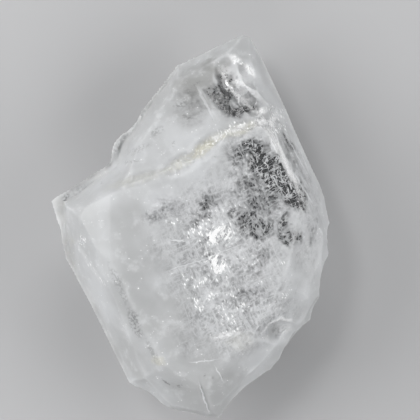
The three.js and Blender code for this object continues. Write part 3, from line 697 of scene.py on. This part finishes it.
whiteLines = [
    {"centre": (5.2, 5.7, 8.4), "radii": (1.0, 0.07, 3.0), "turn": -72, "strength": 0.9},
    {"centre": (6.4, 4.6, 8.0), "radii": (1.5, 0.06, 3.0), "turn": -62, "strength": 0.8},
    {"centre": (6.9, 2.3, 8.0), "radii": (1.3, 0.07, 3.0), "turn": -58, "strength": 0.8},
    {"centre": (0.05, -2.3, 9.0), "radii": (1.6, 0.045, 3.0), "turn": 18, "strength": 0.7},
    {"centre": (2.2, -1.5, 9.0), "radii": (1.1, 0.045, 3.0), "turn": 22, "strength": 0.7},
    {"centre": (-0.7, -0.9, 9.0), "radii": (0.6, 0.05, 3.0), "turn": -2, "strength": 0.7},
    {"centre": (0.9, -10.6, 8.0), "radii": (1.1, 0.05, 3.0), "turn": -72, "strength": 0.9},
    {"centre": (0.9, -8.2, 9.0), "radii": (0.9, 0.045, 3.0), "turn": 5, "strength": 0.6},
    {"centre": (1.8, -9.0, 9.0), "radii": (0.6, 0.04, 3.0), "turn": -62, "strength": 0.6},
    {"centre": (1.0, 7.4, 8.0), "radii": (1.3, 0.10, 3.0), "turn": -62, "strength": 0.5},
]


def windowNet(tree, look, wavy, windows):
    # hairs that thin out towards the middle of a window, crossed by needles
    width = ramp(tree, windows, 0.1, 1.0, 0.16, 0.06)
    net = strands(tree, wavy, prismHeading, 3.2, 5.0, width)
    net = most(tree, net, strands(tree, wavy, look["hairHeading"], 3.4, 5.0, width))
    for needle in look["needles"]:
        net = most(tree, net, flecks(tree, wavy, **needle))
    return net


def milkyBody(tree, look, place, height, coarse):
    # milk with duller, beige and whiter parts; the duller parts are partly the stone's own tone and partly
    # painted shade, on the upper end, in the scar's hollow and over the left corner; the beige keeps to the
    # lower sides
    cloud = ramp(tree, grainy(tree, place, 0.2, 3.0, 0.55), 0.35, 0.65, 0.0, 0.5)
    dullAndShaded = most(tree, cloud, stored(tree, "dullAndShaded"))
    body = blendColour(tree, dullAndShaded, look["milk"], look["dullAndShadedMilk"])
    beige = times(tree, ramp(tree, height, 6.0, 3.0), ramp(tree, coarse, 0.4, 0.6, 0.1, 0.5))
    body = blendColour(tree, beige, body, look["backBeige"])
    return blendColour(tree, ramp(tree, coarse, 0.5, 0.75, 0.0, 0.4), body, look["frost"])


def frostedField(tree, look, wavy, body, frosted, crushed):
    # a crushed mix of grey and white, with fine strokes and the yellowish crumbs on top
    body = blendColour(tree, times(tree, frosted, 0.75), body, look["field"])
    hazeShare = times(tree, frosted, ramp(tree, crushed, 0.52, 0.42, 0.0, 0.9))
    body = blendColour(tree, hazeShare, body, look["haze"])
    strokes = flecks(tree, wavy, **look["strokes"][0])
    for stroke in look["strokes"][1:]:
        strokes = most(tree, strokes, flecks(tree, wavy, **stroke))
    strokeShare = times(tree, times(tree, frosted, strokes), 0.5)
    body = blendColour(tree, strokeShare, body, look["haze"])
    frostShare = times(tree, frosted, ramp(tree, crushed, 0.51, 0.6, 0.0, 0.45))
    body = blendColour(tree, frostShare, body, look["frost"])
    stains = times(tree, stored(tree, "stains"), ramp(tree, crushed, 0.4, 0.55, 0.3, 1.0))
    return blendColour(tree, stains, body, look["stain"])


def addDepthTint(tree, look):
    depth = addNode(tree, "ShaderNodeVolumeAbsorption")
    depth.inputs["Color"].default_value = (*look["depthTint"], 1)
    depth.inputs["Density"].default_value = look["tintDensity"]
    tree.links.new(depth.outputs[0], tree.nodes["Material Output"].inputs["Volume"])


def makePhenakite():
    look = phenakiteLook
    material = bpy.data.materials.new("phenakite")
    material.use_nodes = True
    tree = material.node_tree
    shader = tree.nodes["Principled BSDF"]
    coords = addNode(tree, "ShaderNodeTexCoord").outputs["Object"]
    scaled = addNode(tree, "ShaderNodeVectorMath", {"operation": "SCALE"}, {0: coords, "Scale": 1 / mm})
    place = scaled.outputs[0]  # in millimetres, as the patches are
    axes = addNode(tree, "ShaderNodeSeparateXYZ", None, {"Vector": place}).outputs
    wavy = pushed(tree, place, 2.5, 0.25)
    windows = stored(tree, "windows")
    frosted = stored(tree, "frosted")
    glints = stored(tree, "glints")

    grain = grainy(tree, place, 6.0, 3.0, 0.65)
    coarse = grainy(tree, place, 1.4, 4.0, 0.6)
    net = windowNet(tree, look, wavy, windows)
    sparks = flecks(tree, wavy, 0.13, 0.5, 2.4, prismHeading)
    specks = times(tree, flecks(tree, place, 0.10, 0.03), ramp(tree, coarse, 0.45, 0.6))
    body = milkyBody(tree, look, place, axes[2], coarse)
    streaks = brushed(tree, place, 60)
    crossed = brushed(tree, place, prismHeading)
    crushed = times(tree, calc(tree, "ADD", grain, coarse), 0.25)
    crushed = calc(tree, "ADD", crushed, times(tree, calc(tree, "ADD", streaks, crossed), 0.25))
    body = frostedField(tree, look, wavy, body, frosted, crushed)

    # clear windows, painted dark as the shade of a dark ground seen through them, eaten into at their rims,
    # with fewer hairs in the one below the tip
    mottle = calc(tree, "ADD", times(tree, grain, 1.1), times(tree, coarse, 0.6))
    eaten = calc(tree, "SUBTRACT", windows, calc(tree, "SUBTRACT", mottle, 0.85))
    clearness = ramp(tree, eaten, 0.1, 1.1, 0.0, 0.92)
    colour = blendColour(tree, clearness, body, look["window"])
    netShare = times(tree, net, most(tree, windows, times(tree, frosted, 0.6)))
    netShare = times(tree, netShare, ramp(tree, axes[1], 6.0, 7.0, 0.8, 0.3))
    lines = most(tree, netShare, softPatches(tree, wavy, whiteLines))
    colour = blendColour(tree, lines, colour, look["hair"])
    # painted highlights on the knobbly ridge and the ledge's crumbs, with some real white lines, in the glint
    # white
    highlightsAndWhite = times(tree, stored(tree, "highlightsAndWhite"), ramp(tree, grain, 0.36, 0.5, 0.3, 1.0))
    colour = blendColour(tree, highlightsAndWhite, colour, look["glint"])
    # painted highlight along the ridges, in the frost colour
    ridgeHighlight = times(tree, stored(tree, "ridges"), ramp(tree, coarse, 0.35, 0.6, 0.05, 0.35))
    colour = blendColour(tree, ridgeHighlight, colour, look["frost"])

    # glints: painted highlights, a white glow broken up into flecks, with painted sparkle on specks and on
    # the ledge's crumbs; their bump and low roughness below give some real sparkle too
    glow = times(tree, ramp(tree, glints, 0.3, 1.0, 0.0, 0.5), ramp(tree, crushed, 0.44, 0.52))
    colour = blendColour(tree, glow, colour, look["frost"])
    hearts = times(tree, ramp(tree, glints, 0.8, 1.0), ramp(tree, streaks, 0.49, 0.53))
    around = times(tree, ramp(tree, glints, 0.0, 0.6), sparks)
    crumbs = times(tree, times(tree, stored(tree, "stains"), 0.3), sparks)
    glitter = most(tree, most(tree, hearts, around), most(tree, specks, crumbs))
    colour = blendColour(tree, glitter, colour, look["glint"])
    flaws = times(tree, stored(tree, "flaws"), ramp(tree, grain, 0.52, 0.46))
    colour = blendColour(tree, flaws, colour, look["window"])

    # whatever is white is solid, so a window is clear only between its hairs and glints
    solid = most(tree, most(tree, lines, glitter), most(tree, ridgeHighlight, highlightsAndWhite))
    clearness = times(tree, clearness, calc(tree, "SUBTRACT", 1.0, solid))
    transmission = blendValue(tree, clearness, look["milkClearness"], look["windowClearness"])
    milkRoughness = ramp(tree, coarse, 0.3, 0.7, *look["milkRoughness"])
    roughness = blendValue(tree, clearness, milkRoughness, look["windowRoughness"])
    polished = ramp(tree, most(tree, glints, highlightsAndWhite), 0.5, 0.9)
    roughness = blendValue(tree, polished, roughness, look["glintRoughness"])

    tree.links.new(colour, shader.inputs["Base Color"])
    tree.links.new(transmission, shader.inputs["Transmission Weight"])
    tree.links.new(roughness, shader.inputs["Roughness"])
    shader.inputs["IOR"].default_value = look["ior"]
    shader.inputs["Subsurface Weight"].default_value = look["scatterShare"]
    shader.inputs["Subsurface Radius"].default_value = (1, 1, 1)
    shader.inputs["Subsurface Scale"].default_value = look["scatterReach"] * mm
    addDepthTint(tree, look)

    # only the frosted field is rough to the touch, and the glints most of all
    rough = calc(tree, "ADD", calc(tree, "ADD", times(tree, frosted, 0.9), 0.1), glints)
    bump = look["bump"]
    height = times(tree, grain, rough)
    values = {"Height": height, "Strength": bump["strength"], "Distance": bump["depth"] * mm}
    tree.links.new(addNode(tree, "ShaderNodeBump", None, values).outputs[0], shader.inputs["Normal"])
    return material


stone.data.materials.append(makePhenakite())
makeActive(stone)
bpy.ops.object.shade_smooth_by_angle(angle=math.radians(stoneShape["smoothAngle"]))
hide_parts("crystal")
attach(stone, "root")
print("stone finished")

# the table it lies on
tableLook = {"size": 600, "colour": (0.36, 0.36, 0.365), "roughness": 0.7}


def buildTable():
    deselectAll()
    bpy.ops.mesh.primitive_plane_add(size=tableLook["size"] * mm, location=(0, 0, 0))
    table = bpy.context.object
    table.name = "table"
    material = bpy.data.materials.new("paleTable")
    material.use_nodes = True
    shader = material.node_tree.nodes["Principled BSDF"]
    shader.inputs["Base Color"].default_value = (*tableLook["colour"], 1)
    shader.inputs["Roughness"].default_value = tableLook["roughness"]
    table.data.materials.append(material)


buildTable()

# the camera looks straight down at the stone, as it lies on its back; places are in millimetres
cameraSet = {"lens": 274.5, "sensor": 36, "place": (1.24, 0.94, 202.9)}
studioLights = {
    "left": {"place": (-150, 30, 95), "size": 170, "power": 0.33},
    "right": {"place": (150, -10, 90), "size": 150, "power": 0.20},
    "behind": {"place": (20, 150, 110), "size": 110, "power": 0.125},
    "front": {"place": (-10, -150, 90), "size": 110, "power": 0.125},
    "overhead": {"place": (-45, 55, 170), "size": 40, "power": 0.07},
}
worldLook = {"colour": (0.8, 0.82, 0.85), "strength": 0.16}


def addCamera():
    data = bpy.data.cameras.new("camera")
    data.lens = cameraSet["lens"]
    data.sensor_width = cameraSet["sensor"]
    data.clip_start = 1 * mm
    data.clip_end = 10
    camera = bpy.data.objects.new("camera", data)
    camera.location = Vector(cameraSet["place"]) * mm
    bpy.context.scene.collection.objects.link(camera)
    bpy.context.scene.camera = camera


def addLight(name, place, size, power):
    # a round lamp that faces the stone
    data = bpy.data.lights.new(name, "AREA")
    data.shape = "DISK"
    data.size = size * mm
    data.energy = power
    light = bpy.data.objects.new(name, data)
    light.location = Vector(place) * mm
    light.rotation_euler = (-Vector(place)).to_track_quat("-Z", "Y").to_euler()
    bpy.context.scene.collection.objects.link(light)


def addWorld():
    world = bpy.data.worlds.new("studio")
    bpy.context.scene.world = world
    world.use_nodes = True
    background = world.node_tree.nodes["Background"]
    background.inputs["Color"].default_value = (*worldLook["colour"], 1)
    background.inputs["Strength"].default_value = worldLook["strength"]


addCamera()
for name, light in studioLights.items():
    addLight(name, **light)
addWorld()
bpy.context.scene.view_settings.view_transform = "Standard"
print("stage and lights ready")
